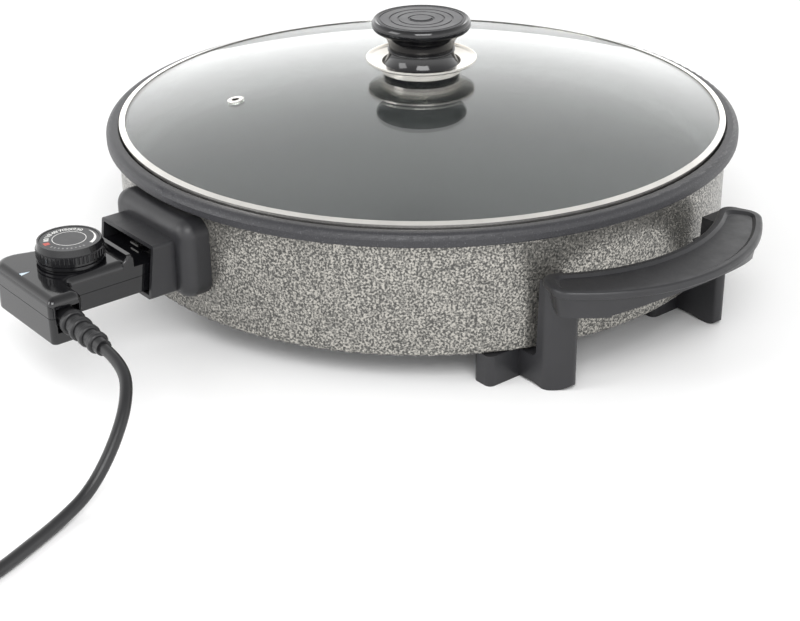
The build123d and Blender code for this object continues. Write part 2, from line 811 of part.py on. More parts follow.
with BuildPart() as top_shell:
    with BuildSketch(Plane.XY.offset(parting)):
        add(controller_plan(0))
    extrude(amount=deck - parting)
    fillet(top_shell.faces().sort_by(Axis.Z)[-1].edges(), deck_round)
    # The neck steps down where it enters the collar
    with BuildSketch(Plane.XY.offset(neck_high)):
        with Locations((0, neck_shoulder + 50)):
            Rectangle(4 * neck_half, 100)
    extrude(amount=deck, mode=Mode.SUBTRACT)
    # Raised finger lip across the neck
    with BuildPart(mode=Mode.PRIVATE) as lip:
        with BuildSketch(Plane.YZ.offset(-neck_half)):
            with BuildLine():
                ramp = ThreePointArc(
                    (ramp_start, deck - 0.3),
                    (ramp_start + 2.0, deck + 1.0),
                    (ramp_start + 3.2, lip_high),
                )
                Polyline(
                    ramp @ 1,
                    (neck_shoulder - 1.0, lip_high),
                    (neck_shoulder, lip_high - 1.0),
                    (neck_shoulder, neck_high),
                    (ramp_start, neck_high),
                    ramp @ 0,
                )
            make_face()
        extrude(amount=2 * neck_half)
        fillet(
            lip.faces().filter_by(Axis.X).edges().filter_by_position(
                Axis.Z, deck + 0.5, lip_high + 1
            ),
            1.6,
        )
    add(lip.part)
    add(cavity.part, mode=Mode.SUBTRACT)
    with BuildSketch(Plane.XY.offset(parting)):
        with Locations(*case_screws):
            Circle(case_boss)
            Circle(case_screw / 2, mode=Mode.SUBTRACT)
    extrude(amount=deck - shell - parting)
    # Spindle hole, lens window and the recess round the lead
    with BuildSketch(Plane.XY.offset(parting)):
        with Locations((0, dial_y)):
            Circle(spindle / 2 + slip)
    extrude(amount=deck, mode=Mode.SUBTRACT)
    with BuildSketch(Plane.XY.offset(parting)):
        Polygon(
            (0, lens_front + 0.3),
            (-2.0, lens_front - lens_length - 0.2),
            (2.0, lens_front - lens_length - 0.2),
            align=None,
        )
    extrude(amount=deck, mode=Mode.SUBTRACT)
    add(boot_recess, mode=Mode.SUBTRACT)
    with BuildSketch(Plane(origin=boot_start, z_dir=boot_axis)):
        Circle(boot_hole)
    extrude(amount=12, both=True, mode=Mode.SUBTRACT)
save(top_shell, "controller_top")

with BuildPart() as bottom_shell:
    with BuildSketch(Plane.XY.offset(neck_low)):
        add(controller_plan(0))
    extrude(amount=parting - seam - neck_low)
    with BuildSketch(Plane.XY.offset(bar_low)):
        add(controller_plan(0))
        beyond(deep_start)
    extrude(amount=neck_low - bar_low)
    fillet(bottom_shell.faces().sort_by(Axis.Z)[0].edges(), 1.2)
    add(cavity.part, mode=Mode.SUBTRACT)
    for x, y in case_screws:
        low = neck_low if y > deep_start else bar_low
        with BuildSketch(Plane.XY.offset(low)):
            with Locations((x, y)):
                Circle(case_boss)
        extrude(amount=parting - seam - low)
        with BuildSketch(Plane.XY.offset(low)):
            with Locations((x, y)):
                Circle(case_screw / 2 + seat)
        extrude(amount=parting - low, mode=Mode.SUBTRACT)
        with BuildSketch(Plane.XY.offset(low)):
            with Locations((x, y)):
                Circle(case_screw - 0.2)
        extrude(amount=3.0, mode=Mode.SUBTRACT)
    with BuildSketch(Plane.XZ.offset(-neck_end - 5)):
        with Locations(*socket_holes):
            Circle(element_radius + seat)
    extrude(amount=5 + shell + 1, mode=Mode.SUBTRACT)
    add(boot_recess, mode=Mode.SUBTRACT)
    with BuildSketch(Plane(origin=boot_start, z_dir=boot_axis)):
        Circle(boot_hole)
    extrude(amount=12, both=True, mode=Mode.SUBTRACT)
save(bottom_shell, "controller_bottom")

with BuildPart() as case_fixings:
    for x, y in case_screws:
        low = neck_low if y > deep_start else bar_low
        with BuildSketch(Plane.XY.offset(low + 1.0)):
            with Locations((x, y)):
                Circle(case_screw - 0.4)
                Rectangle(3.2, 0.8, mode=Mode.SUBTRACT)
        extrude(amount=0.9)
        with BuildSketch(Plane.XY.offset(low + 1.9)):
            with Locations((x, y)):
                Circle(case_screw - 0.4)
        extrude(amount=1.0)
        with BuildSketch(Plane.XY.offset(low + 2.9)):
            with Locations((x, y)):
                Circle(case_screw / 2 - press)
        extrude(amount=parting + 4.0 - low - 2.9)
save(case_fixings, "controller_screws")

with BuildPart() as lens:
    with BuildSketch(Plane.XY.offset(deck - shell - 0.8)):
        Polygon(
            (0, lens_front - 0.3),
            (-1.7, lens_front - lens_length),
            (1.7, lens_front - lens_length),
            align=None,
        )
    extrude(amount=shell + 0.8)
save(lens, "pointer_lens")

lamp_top = deck - shell - 1.0
with BuildPart() as lamp:
    with BuildSketch(Plane.XY.offset(bar_low + shell + 1.0)):
        with Locations((0, lens_front - 5.0)):
            Circle(2.4)
    extrude(amount=lamp_top - bar_low - shell - 1.0)
    fillet(lamp.faces().sort_by(Axis.Z)[-1].edges(), 1.6)
save(lamp, "pilot_lamp")

# ---- Contacts and the probe
contact_front = neck_end - shell - 0.3
contact_length = 17.0
with BuildPart() as contacts:
    with BuildSketch(Plane.XZ.offset(-contact_front)):
        with Locations(socket_holes[0], socket_holes[2]):
            Circle(element_radius - 0.2)
            Circle(pin_diameter / 2 + slip, mode=Mode.SUBTRACT)
    extrude(amount=contact_length)
    with BuildSketch(Plane.XZ.offset(contact_length - contact_front)):
        with Locations((-pin_x, terminal_height + 3.2), (pin_x, terminal_height + 3.2)):
            Rectangle(1.6, 0.9)
    extrude(amount=14.0, both=True)
save(contacts, "pin_contacts")

probe_rear = neck_shoulder - 7.0
with BuildPart() as probe:
    with BuildSketch(Plane.XZ.offset(-probe_tip)):
        with Locations((0, terminal_height)):
            Circle(probe_diameter / 2)
    extrude(amount=probe_tip - probe_rear)
    fillet(probe.faces().sort_by(Axis.Y)[-1].edges(), 2.4)
save(probe, "sensor_probe")

with BuildPart() as thermostat:
    with BuildSketch(Plane.XZ.offset(-probe_rear - 6.0)):
        with Locations((0, terminal_height)):
            Rectangle(13.0, 2 * (terminal_height - neck_low - shell - 0.1))
            Circle(probe_diameter / 2 + press, mode=Mode.SUBTRACT)
    extrude(amount=1.4)
    with BuildSketch(Plane.XY.offset(neck_low + shell + 0.1)):
        with Locations((0, (probe_rear + 5.0 + dial_y - 12) / 2)):
            Rectangle(9.0, probe_rear + 5.0 - dial_y + 12)
    extrude(amount=0.5)
save(thermostat, "thermostat_frame")

stack_y = dial_y - 8.0
with BuildPart() as stack:
    with BuildSketch(Plane.XY.offset(neck_low + shell + 0.7)):
        with Locations((0, stack_y)):
            Circle(3.4)
    extrude(amount=4.0)
save(stack, "ceramic_stack")

with BuildPart() as blade:
    with BuildSketch(Plane.XY.offset(neck_low + shell + 4.8)):
        with Locations((0, (stack_y + probe_rear - 3.0) / 2)):
            Rectangle(6.0, probe_rear - 3.0 - stack_y + 6.0)
    extrude(amount=0.6)
save(blade, "contact_blade")

spindle_low = neck_low + shell + 5.6
with BuildPart() as shaft:
    with BuildSketch(Plane.XY.offset(spindle_low)):
        with Locations((0, dial_y)):
            Circle(spindle / 2)
    extrude(amount=deck + dial_height - 5.0 - spindle_low)
save(shaft, "dial_spindle")

# ---- Dial
dial_low = deck + loose
dial_top = dial_low + dial_height
rib_low = dial_low + 4.6
rib_high = dial_low + 8.8
with BuildPart() as dial:
    with BuildSketch(Plane.XZ.offset(-dial_y)) as dial_section:
        with BuildLine():
            Polyline(
                (spindle / 2 + press, dial_low),
                (dial_radius - 1.0, dial_low),
                (dial_radius - 1.0, dial_low + 1.0),
                (dial_radius, dial_low + 1.3),
                (dial_radius, dial_low + 2.5),
                (dial_radius - 0.8, dial_low + 2.8),
                (dial_radius - 0.8, dial_low + 3.4),
                (dial_radius, dial_low + 3.7),
                (dial_radius, rib_high),
                (dial_radius - 0.6, rib_high + 0.5),
                (dial_top_radius, dial_top),
                (dial_top_radius - 1.2, dial_top),
                (dial_top_radius - 1.4, dial_top - 0.9),
                (0, dial_top - 0.9),
                (0, deck + dial_height - 4.8),
                (spindle / 2 + press, deck + dial_height - 4.8),
                close=True,
            )
        make_face()
    revolve(axis=Axis((0, dial_y, 0), (0, 0, 1)))
    with BuildSketch(Plane.XY.offset(rib_low)):
        with Locations((0, dial_y)):
            with PolarLocations(dial_radius + 0.35, dial_ribs):
                Circle(0.75)
    extrude(amount=rib_high + 0.5 - rib_low, mode=Mode.SUBTRACT)
save(dial, "dial_knob")

with BuildPart() as disc:
    with BuildSketch(Plane.XY.offset(dial_top - 0.88)):
        with Locations((0, dial_y)):
            Circle(dial_top_radius - 1.5)
    extrude(amount=0.6)
save(disc, "dial_disc")

# ======================================================================= Mains lead
boot_tip = 4.8
with BuildPart() as boot:
    with BuildSketch(boot_plane):
        with BuildLine():
            Polyline(
                (-shell - 3.4, 0),
                (-shell - 3.4, boot_neck + 1.4),
                (-shell - 0.5, boot_neck + 1.4),
                (-shell - 0.5, boot_neck),
                (0.9, boot_neck),
                (0.9, boot_neck + 0.9),
                (5.0, boot_neck + 0.9),
                (boot_length, boot_tip),
                (boot_length, 0),
                close=True,
            )
        make_face()
    revolve(axis=Axis(boot_start, boot_axis))
    for step in range(4):
        middle = 9.5 + step * 9.0
        rise = boot_neck + 2.2 - step * 0.45
        with BuildSketch(boot_plane):
            with Locations((middle, rise / 2 + 1)):
                RectangleRounded(4.6, rise - 2.0, 1.4)
        revolve(axis=Axis(boot_start, boot_axis))
save(boot, "strain_relief")

lead_height = lead / 2 + 0.1
lead_start = boot_start + boot_axis * boot_length
plug_axis = Vector(-cos(radians(plug_heading)), -sin(radians(plug_heading)), 0)
plug_face = Vector(plug_x, plug_y, plug_radius + 0.2)
tail_end = plug_face - plug_axis * plug_body_length
lead_points = [
    lead_start,
    lead_start + boot_axis * 22.0,
    Vector(124.0, -309.0, 42.0),
    Vector(137.0, -327.0, 26.0),
    Vector(143.0, -346.0, 9.5),
    Vector(149.0, -367.0, lead_height),
    Vector(159.0, -390.0, lead_height),
    Vector(168.5, -413.0, lead_height),
    Vector(174.5, -437.0, lead_height),
    Vector(176.0, -459.0, lead_height),
]
tail_points = [
    Vector(coil_x - 18.0, coil_y - coil_radius + 2.0, lead_height),
    Vector(coil_x - 39.0, coil_y - coil_radius - 0.4, lead_height + 0.2),
    Vector(coil_x - 59.0, coil_y - coil_radius - 2.6, lead_height + 6.0),
    tail_end - plug_axis * 21.0,
    tail_end,
]


def corner_radii(points):
    """The largest arc that fits at each corner of a route, a little inside its runs."""
    radii = []
    for before, here, after in zip(points, points[1:], points[2:]):
        turn = radians((here - before).get_angle(after - here))
        run = min((here - before).length, (after - here).length)
        radii.append(0.45 * run / tan(turn / 2))
    return radii


def lead_tube(points, name):
    """A round lead along straight runs and tangent arcs, up to the side of the coil."""
    radii = corner_radii(points)
    with BuildPart() as tube:
        with BuildLine() as route:
            FilletPolyline(*points, radius=radii)
        with BuildSketch(Plane(origin=points[0], z_dir=points[1] - points[0])):
            Circle(lead / 2)
        sweep(path=route.wire())
        length = route.wire().length
        share = tube.part.volume / (length * pi * lead**2 / 4)
        print(name, "radii", [round(radius) for radius in radii])
        print(name, "length", round(length, 1), "volume to section times length", round(share, 5))
        add(coil.part, mode=Mode.SUBTRACT)
    save(tube, name)


with BuildPart() as coil:
    with BuildSketch(Plane.XZ):
        with Locations((coil_radius, coil_height / 2 + 0.1)):
            RectangleRounded(coil_width, coil_height, lead / 2 - 0.1)
    revolve(axis=Axis.Z)
coil.part.locate(Location((coil_x, coil_y, 0)))
save(coil, "lead_coil")
lead_tube(lead_points, "mains_lead")
lead_tube(tail_points, "lead_tail")

# ---- Plug, lying on the table at the end of the lead
plug_plane = Plane(origin=plug_face, x_dir=-plug_axis, z_dir=(0, 0, 1))
with BuildPart() as plug:
    with BuildSketch(plug_plane):
        with BuildLine():
            Polyline(
                (0, 0),
                (0, plug_radius),
                (17.0, plug_radius),
                (24.0, 13.0),
                (34.0, 8.0),
                (plug_body_length, lead / 2 + 0.8),
                (plug_body_length, 0),
                close=True,
            )
        make_face()
    revolve(axis=Axis(plug_face, plug_axis))
    fillet(plug.faces().filter_by(GeomType.PLANE).sort_by(SortBy.AREA)[-1].edges(), 1.5)
    with BuildSketch(Plane(origin=plug_face, x_dir=(0, 0, 1), z_dir=plug_axis)):
        with GridLocations(1, plug_pin_spacing, 1, 2):
            Circle(plug_pin / 2)
    extrude(amount=-plug_pin_embed, mode=Mode.SUBTRACT)
save(plug, "plug_body")

with BuildPart() as plug_pins:
    pin_root = plug_face - plug_axis * plug_pin_embed
    with BuildSketch(Plane(origin=pin_root, x_dir=(0, 0, 1), z_dir=plug_axis)):
        with GridLocations(1, plug_pin_spacing, 1, 2):
            Circle(plug_pin / 2)
    extrude(amount=plug_pin_embed + plug_pin_length)
    fillet(plug_pins.edges().sort_by(Axis(plug_face, plug_axis))[-2:], 1.4)
save(plug_pins, "plug_pins")
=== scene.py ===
from math import cos, pi, radians, sin

import bpy
import bmesh
from mathutils import Euler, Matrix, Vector


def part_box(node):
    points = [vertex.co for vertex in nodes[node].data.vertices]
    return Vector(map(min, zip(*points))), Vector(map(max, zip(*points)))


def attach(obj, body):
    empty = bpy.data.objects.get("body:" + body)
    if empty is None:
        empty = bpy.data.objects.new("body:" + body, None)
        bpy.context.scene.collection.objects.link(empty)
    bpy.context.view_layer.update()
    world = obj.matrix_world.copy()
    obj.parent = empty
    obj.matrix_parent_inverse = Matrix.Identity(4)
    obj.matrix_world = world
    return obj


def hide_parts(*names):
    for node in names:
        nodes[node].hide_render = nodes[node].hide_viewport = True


# An electric griddle in a white studio. Metres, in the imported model's frame: the origin is on
# the table under the middle of the pan, the controller points to -Y, the handles to +X and -X.

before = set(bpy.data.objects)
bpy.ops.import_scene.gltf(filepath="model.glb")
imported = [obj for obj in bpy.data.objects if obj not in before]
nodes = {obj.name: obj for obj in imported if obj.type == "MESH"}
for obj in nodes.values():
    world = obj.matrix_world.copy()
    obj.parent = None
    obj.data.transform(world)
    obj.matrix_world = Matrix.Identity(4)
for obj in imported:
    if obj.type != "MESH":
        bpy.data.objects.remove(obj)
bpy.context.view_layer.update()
scene = bpy.context.scene
MM = 0.001


# ======================================================================= Helpers
def add_object(name, data):
    made = bpy.data.objects.new(name, data)
    scene.collection.objects.link(made)
    return made


def new_material(name):
    """An empty principled material: the material, its node tree and its shader."""
    mat = bpy.data.materials.new(name)
    mat.use_nodes = True
    return mat, mat.node_tree, mat.node_tree.nodes["Principled BSDF"]


def set_inputs(shader, **values):
    """Set sockets by name, with _ for a space."""
    for key, value in values.items():
        shader.inputs[key.replace("_", " ")].default_value = value


def join(tree, source, target):
    """Link an output socket to an input socket."""
    tree.links.new(source, target)


# Sockets of a colour Mix node, where the names are shared by its other kinds
MIX_A = 6
MIX_B = 7
MIX_RESULT = 2


def coordinates(tree, stretch=(1, 1, 1)):
    """Object coordinates in metres, stretched along each axis."""
    place = tree.nodes.new("ShaderNodeTexCoord")
    mapping = tree.nodes.new("ShaderNodeMapping")
    mapping.inputs["Scale"].default_value = stretch
    join(tree, place.outputs["Object"], mapping.inputs["Vector"])
    return mapping.outputs["Vector"]


def noise(tree, where, size, detail=3.0, roughness=0.5):
    """Noise whose features are about size metres across, from 0 to 1."""
    made = tree.nodes.new("ShaderNodeTexNoise")
    set_inputs(made, Scale=1 / size, Detail=detail, Roughness=roughness)
    join(tree, where, made.inputs["Vector"])
    return made.outputs["Fac"]


def ramp(tree, source, *stops):
    """A ramp on a value. Each stop is (position, grey or colour)."""
    made = tree.nodes.new("ShaderNodeValToRGB")
    elements = made.color_ramp.elements
    while len(elements) < len(stops):
        elements.new(1.0)
    for element, (position, colour) in zip(elements, stops):
        element.position = position
        if isinstance(colour, (int, float)):
            colour = (colour, colour, colour)
        element.color = (*colour, 1.0)
    join(tree, source, made.inputs["Fac"])
    return made.outputs["Color"]


def mix(tree, share, first, second):
    """Between two colours or two colour sockets, by a share from 0 to 1."""
    made = tree.nodes.new("ShaderNodeMix")
    made.data_type = "RGBA"
    join(tree, share, made.inputs["Factor"])
    for slot, value in (("A", first), ("B", second)):
        socket = [s for s in made.inputs if s.name == slot and s.type == "RGBA"][0]
        if isinstance(value, tuple):
            socket.default_value = (*value, 1.0)
        else:
            join(tree, value, socket)
    return [s for s in made.outputs if s.type == "RGBA"][0]


def bump(tree, shader, height, strength, depth):
    """Relief from a height socket."""
    made = tree.nodes.new("ShaderNodeBump")
    set_inputs(made, Strength=strength, Distance=depth)
    join(tree, height, made.inputs["Height"])
    join(tree, made.outputs["Normal"], shader.inputs["Normal"])


def above(tree, value, limit, softness=0.0002):
    """0 below a limit and 1 above it, with a soft step."""
    made = tree.nodes.new("ShaderNodeMapRange")
    set_inputs(made, From_Min=limit - softness, From_Max=limit + softness)
    join(tree, value, made.inputs["Value"])
    return made.outputs["Result"]


def times(tree, first, second):
    """The product of two value sockets."""
    made = tree.nodes.new("ShaderNodeMath")
    made.operation = "MULTIPLY"
    join(tree, first, made.inputs[0])
    join(tree, second, made.inputs[1])
    return made.outputs["Value"]


def distance_from_axis(tree):
    """Distance from the Z axis, and height, as two sockets."""
    place = tree.nodes.new("ShaderNodeTexCoord")
    flat = tree.nodes.new("ShaderNodeVectorMath")
    flat.operation = "MULTIPLY"
    flat.inputs[1].default_value = (1, 1, 0)
    join(tree, place.outputs["Object"], flat.inputs[0])
    length = tree.nodes.new("ShaderNodeVectorMath")
    length.operation = "LENGTH"
    join(tree, flat.outputs["Vector"], length.inputs[0])
    parts = tree.nodes.new("ShaderNodeSeparateXYZ")
    join(tree, place.outputs["Object"], parts.inputs["Vector"])
    return length.outputs["Value"], parts.outputs["Z"]


def paint(mat, *names):
    """Give one material to CAD nodes or pieces."""
    for name in names:
        piece = nodes[name] if isinstance(name, str) else name
        piece.data.materials.clear()
        piece.data.materials.append(mat)


# ======================================================================= Materials
def plastic(name, colour, rough, grain=0.0006, depth=0.00003, spread=0.12, specular=0.5, coat=0.0):
    """Moulded plastic: fine grain, faint clouding of its shade and gloss, and handling marks."""
    mat, tree, shader = new_material(name)
    where = coordinates(tree)
    cloud = noise(tree, where, 0.03)
    rubbed = noise(tree, where, 0.009, detail=6.0, roughness=0.65)
    dark = tuple(c * (1 - spread) for c in colour)
    light = tuple(c * (1 + spread) for c in colour)
    join(tree, ramp(tree, cloud, (0.35, dark), (0.65, light)), shader.inputs["Base Color"])
    gloss = ramp(tree, rubbed, (0.35, rough * 0.82), (0.7, rough * 1.18))
    join(tree, gloss, shader.inputs["Roughness"])
    bump(tree, shader, noise(tree, where, grain, detail=2.0), 0.5, depth)
    set_inputs(shader, Specular_IOR_Level=specular, Coat_Weight=coat, Coat_Roughness=0.05)
    return mat


def metal(name, colour, rough, stretch=(1, 1, 1), grain=0.0015, depth=0.00001, spread=0.08):
    """Worked metal: drawn or turned marks, and slight staining."""
    mat, tree, shader = new_material(name)
    marks = noise(tree, coordinates(tree, stretch), grain, detail=4.0)
    stain = noise(tree, coordinates(tree), 0.02, detail=4.0)
    dark = tuple(c * (1 - spread) for c in colour)
    join(tree, ramp(tree, stain, (0.35, dark), (0.6, colour)), shader.inputs["Base Color"])
    gloss = ramp(tree, marks, (0.3, rough * 0.75), (0.7, rough * 1.3))
    join(tree, gloss, shader.inputs["Roughness"])
    bump(tree, shader, marks, 0.4, depth)
    set_inputs(shader, Metallic=1.0)
    return mat


def pan_coating(wall_top, wall_radius, under_radius, under_top):
    """Hammered silver-grey enamel on the wall, dark non-stick on the rim and inside, and
    plain cast aluminium on the underside."""
    mat, tree, shader = new_material("pan_coating")
    where = coordinates(tree)
    radius, height = distance_from_axis(tree)
    outside = above(tree, radius, wall_radius)
    low = tree.nodes.new("ShaderNodeMapRange")
    set_inputs(low, From_Min=wall_top - 0.0003, From_Max=wall_top, To_Min=1.0, To_Max=0.0)
    join(tree, height, low.inputs["Value"])
    on_wall = times(tree, outside, low.outputs["Result"])
    inner = tree.nodes.new("ShaderNodeMapRange")
    set_inputs(inner, From_Min=under_radius, From_Max=under_radius + 0.0004, To_Min=1.0, To_Max=0.0)
    join(tree, radius, inner.inputs["Value"])
    beneath = tree.nodes.new("ShaderNodeMapRange")
    set_inputs(beneath, From_Min=under_top, From_Max=under_top + 0.0004, To_Min=1.0, To_Max=0.0)
    join(tree, height, beneath.inputs["Value"])
    underneath = times(tree, inner.outputs["Result"], beneath.outputs["Result"])

    worms = noise(tree, where, 0.0012, detail=1.2, roughness=0.4)
    drift = noise(tree, where, 0.012, detail=2.0)
    speckle = ramp(
        tree,
        worms,
        (0.37, (0.085, 0.084, 0.080)),
        (0.50, (0.22, 0.215, 0.20)),
        (0.64, (0.48, 0.46, 0.42)),
    )
    shade = ramp(tree, drift, (0.3, 0.86), (0.7, 1.0))
    toned = tree.nodes.new("ShaderNodeMix")
    toned.data_type = "RGBA"
    toned.blend_type = "MULTIPLY"
    toned.inputs["Factor"].default_value = 1.0
    join(tree, speckle, toned.inputs[MIX_A])
    join(tree, shade, toned.inputs[MIX_B])

    flakes = noise(tree, where, 0.0007, detail=2.0)
    rim_colour = ramp(
        tree,
        flakes,
        (0.35, (0.020, 0.020, 0.023)),
        (0.62, (0.026, 0.026, 0.030)),
        (0.8, (0.11, 0.11, 0.12)),
    )
    cast = ramp(tree, noise(tree, where, 0.003), (0.3, (0.30, 0.30, 0.30)), (0.7, (0.42, 0.42, 0.42)))
    colour = mix(tree, on_wall, rim_colour, toned.outputs[MIX_RESULT])
    colour = mix(tree, underneath, colour, cast)
    join(tree, colour, shader.inputs["Base Color"])

    wall_gloss = ramp(tree, worms, (0.4, 0.38), (0.6, 0.24))
    rim_gloss = ramp(tree, flakes, (0.3, 0.50), (0.7, 0.36))
    gloss = mix(tree, on_wall, rim_gloss, wall_gloss)
    join(tree, mix(tree, underneath, gloss, (0.5, 0.5, 0.5)), shader.inputs["Roughness"])
    metallic = mix(tree, on_wall, (0.0, 0.0, 0.0), (0.7, 0.7, 0.7))
    join(tree, mix(tree, underneath, metallic, (0.8, 0.8, 0.8)), shader.inputs["Metallic"])

    relief = mix(tree, on_wall, flakes, worms)
    depth = tree.nodes.new("ShaderNodeBump")
    set_inputs(depth, Strength=0.55, Distance=0.00025)
    join(tree, relief, depth.inputs["Height"])
    join(tree, depth.outputs["Normal"], shader.inputs["Normal"])
    set_inputs(shader, Specular_IOR_Level=0.5)
    return mat


def lid_glass_material():
    """Clear tempered glass, faintly green, slightly wavy, with a film of wiping marks."""
    mat, tree, shader = new_material("tempered_glass")
    where = coordinates(tree)
    smears = noise(tree, coordinates(tree, (1, 0.35, 1)), 0.02, detail=6.0, roughness=0.6)
    join(tree, ramp(tree, smears, (0.45, 0.012), (0.75, 0.045)), shader.inputs["Roughness"])
    tint = ramp(tree, noise(tree, where, 0.12), (0.3, (0.88, 0.93, 0.91)), (0.7, (0.92, 0.95, 0.94)))
    join(tree, tint, shader.inputs["Base Color"])
    bump(tree, shader, noise(tree, where, 0.09, detail=1.0), 0.15, 0.0006)
    set_inputs(shader, Transmission_Weight=1.0, IOR=1.5)
    return mat


def turned_cap():
    """Matt dark grey plastic, slightly clouded. Its rings are in the CAD."""
    mat, tree, shader = new_material("turned_cap")
    cloud = noise(tree, coordinates(tree), 0.012, detail=5.0)
    join(
        tree,
        ramp(tree, cloud, (0.3, (0.050, 0.050, 0.053)), (0.7, (0.072, 0.072, 0.076))),
        shader.inputs["Base Color"],
    )
    join(tree, ramp(tree, cloud, (0.3, 0.34), (0.7, 0.46)), shader.inputs["Roughness"])
    bump(tree, shader, noise(tree, coordinates(tree), 0.0006), 0.3, 0.00001)
    return mat


def printed_ink(name, colour):
    """Screen print: nearly flat, a little patchy where it has rubbed."""
    mat, tree, shader = new_material(name)
    patchy = noise(tree, coordinates(tree), 0.0012, detail=5.0)
    worn = tuple(c * 0.72 for c in colour)
    join(tree, ramp(tree, patchy, (0.3, worn), (0.5, colour)), shader.inputs["Base Color"])
    join(tree, ramp(tree, patchy, (0.3, 0.5), (0.7, 0.36)), shader.inputs["Roughness"])
    bump(tree, shader, patchy, 0.2, 0.00001)
    return mat


def paint_everything():
    pan_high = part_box("pan_body")[1]
    rim_radius = pan_high.x
    element_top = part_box("heating_element")[1].z
    rim_height = 0.0085
    into_wall = 0.0089      # from the rim's edge to the middle of the wall
    past_skirt = 0.0099     # from the rim's edge to just outside the skirt's inner face
    coating = pan_coating(
        pan_high.z - rim_height - 0.0004,
        rim_radius - into_wall,
        rim_radius - past_skirt,
        element_top + 0.003,
    )
    paint(coating, "pan_body", "pan_floor")

    moulding = plastic("charcoal_moulding", (0.017, 0.017, 0.019), 0.40, grain=0.0005, depth=0.00003)
    paint(moulding, "handle_right", "handle_left", "socket_housing")
    case = plastic(
        "polished_black", (0.005, 0.005, 0.006), 0.09, grain=0.004, depth=0.000004, specular=0.6
    )
    paint(case, "controller_top", "controller_bottom")
    paint(plastic("dial_black", (0.006, 0.006, 0.007), 0.16, depth=0.000006), "dial_knob")
    knob = plastic(
        "phenolic_black", (0.005, 0.005, 0.006), 0.10, grain=0.003, depth=0.000005, specular=0.6
    )
    paint(knob, "lid_knob")
    paint(turned_cap(), "knob_cap")
    paint(plastic("dial_face", (0.018, 0.018, 0.020), 0.34, grain=0.0008, depth=0.00001), "dial_disc")
    paint(lid_glass_material(), "lid_glass")

    ring_marks = (1, 1, 12)
    polished = metal("polished_steel", (0.86, 0.84, 0.80), 0.12, ring_marks, grain=0.004)
    paint(polished, "lid_band", "lid_vent")
    paint(metal("satin_steel", (0.83, 0.80, 0.75), 0.22, ring_marks), "knob_plate")
    drawn = metal("drawn_steel", (0.62, 0.61, 0.59), 0.28)
    paint(drawn, "probe_guide", "thermostat_frame", "earth_blade")
    paint(metal("stainless_pin", (0.72, 0.71, 0.69), 0.18), "terminal_pins", "sensor_probe", "plug_pins")
    paint(metal("spindle_steel", (0.60, 0.60, 0.60), 0.25), "dial_spindle")
    zinc = metal("zinc_plate", (0.62, 0.64, 0.66), 0.30, grain=0.0008)
    paint(zinc, "socket_screws", "handle_screws", "lid_screw", "lid_washer", "controller_screws")
    paint(metal("brass", (0.78, 0.58, 0.27), 0.24), "knob_insert", "pin_contacts", "contact_blade")
    paint(metal("dark_sheath", (0.22, 0.20, 0.18), 0.42, grain=0.0012, spread=0.35), "heating_element")
    ceramic = plastic("ceramic", (0.72, 0.69, 0.62), 0.38, grain=0.0004, depth=0.00002, spread=0.05)
    paint(ceramic, "terminal_beads", "ceramic_stack")
    silicone = plastic("silicone", (0.46, 0.46, 0.44), 0.40, spread=0.06)
    paint(silicone, "lid_gasket", "lid_seal")
    rubber = plastic("black_rubber", (0.010, 0.010, 0.011), 0.36, grain=0.0009, depth=0.00003)
    paint(rubber, "strain_relief", "plug_body")
    lens = plastic("lens", (0.62, 0.74, 0.84), 0.15, depth=0.000003, spread=0.04)
    paint(lens, "pointer_lens")
    lamp = plastic("lamp_glass", (0.80, 0.46, 0.30), 0.12, depth=0.000003, spread=0.08)
    paint(lamp, "pilot_lamp")
    return rubber


# ======================================================================= Mains lead
LEAD = 7.0
LEAD_HEIGHT = LEAD / 2 + 0.1
TURN_PITCH = 7.1           # between turns that lie beside each other
COIL_X = 131.0
COIL_Y = -466.0
COIL_RADIUS = 38.5         # middle of the turns
COIL_OUTER = COIL_RADIUS + TURN_PITCH
COIL_START = radians(8.8)
COIL_TURNS = 3.375
POINTS_PER_TURN = 14
BOOT_DROOP = radians(4.5)
PLUG_HEADING = radians(8.0)
boot_axis = Vector((cos(BOOT_DROOP), 0, -sin(BOOT_DROOP)))
lead_start = Vector((38.0, -297.7, 56.7)) + boot_axis * 44.0
plug_axis = Vector((-cos(PLUG_HEADING), -sin(PLUG_HEADING), 0))
tail_end = Vector((-12.0, -519.0, 18.7)) - plug_axis * 46.0


def coil_points():
    """Two turns winding inwards on the table, then the rest winding outwards on top."""
    points = []
    climb_start = 1.85
    climb_turns = 0.3
    for step in range(1, round(COIL_TURNS * POINTS_PER_TURN)):
        turn = step / POINTS_PER_TURN
        angle = COIL_START - 2 * pi * turn
        climb = min(max((turn - climb_start) / climb_turns, 0.0), 1.0)
        inwards = COIL_OUTER - TURN_PITCH * min(turn, 2.0)
        outwards = TURN_PITCH * max(turn - 2.0, 0.0)
        radius = inwards + outwards
        height = LEAD_HEIGHT + (LEAD + 0.2) * climb
        points.append((COIL_X + radius * cos(angle), COIL_Y + radius * sin(angle), height))
    return points


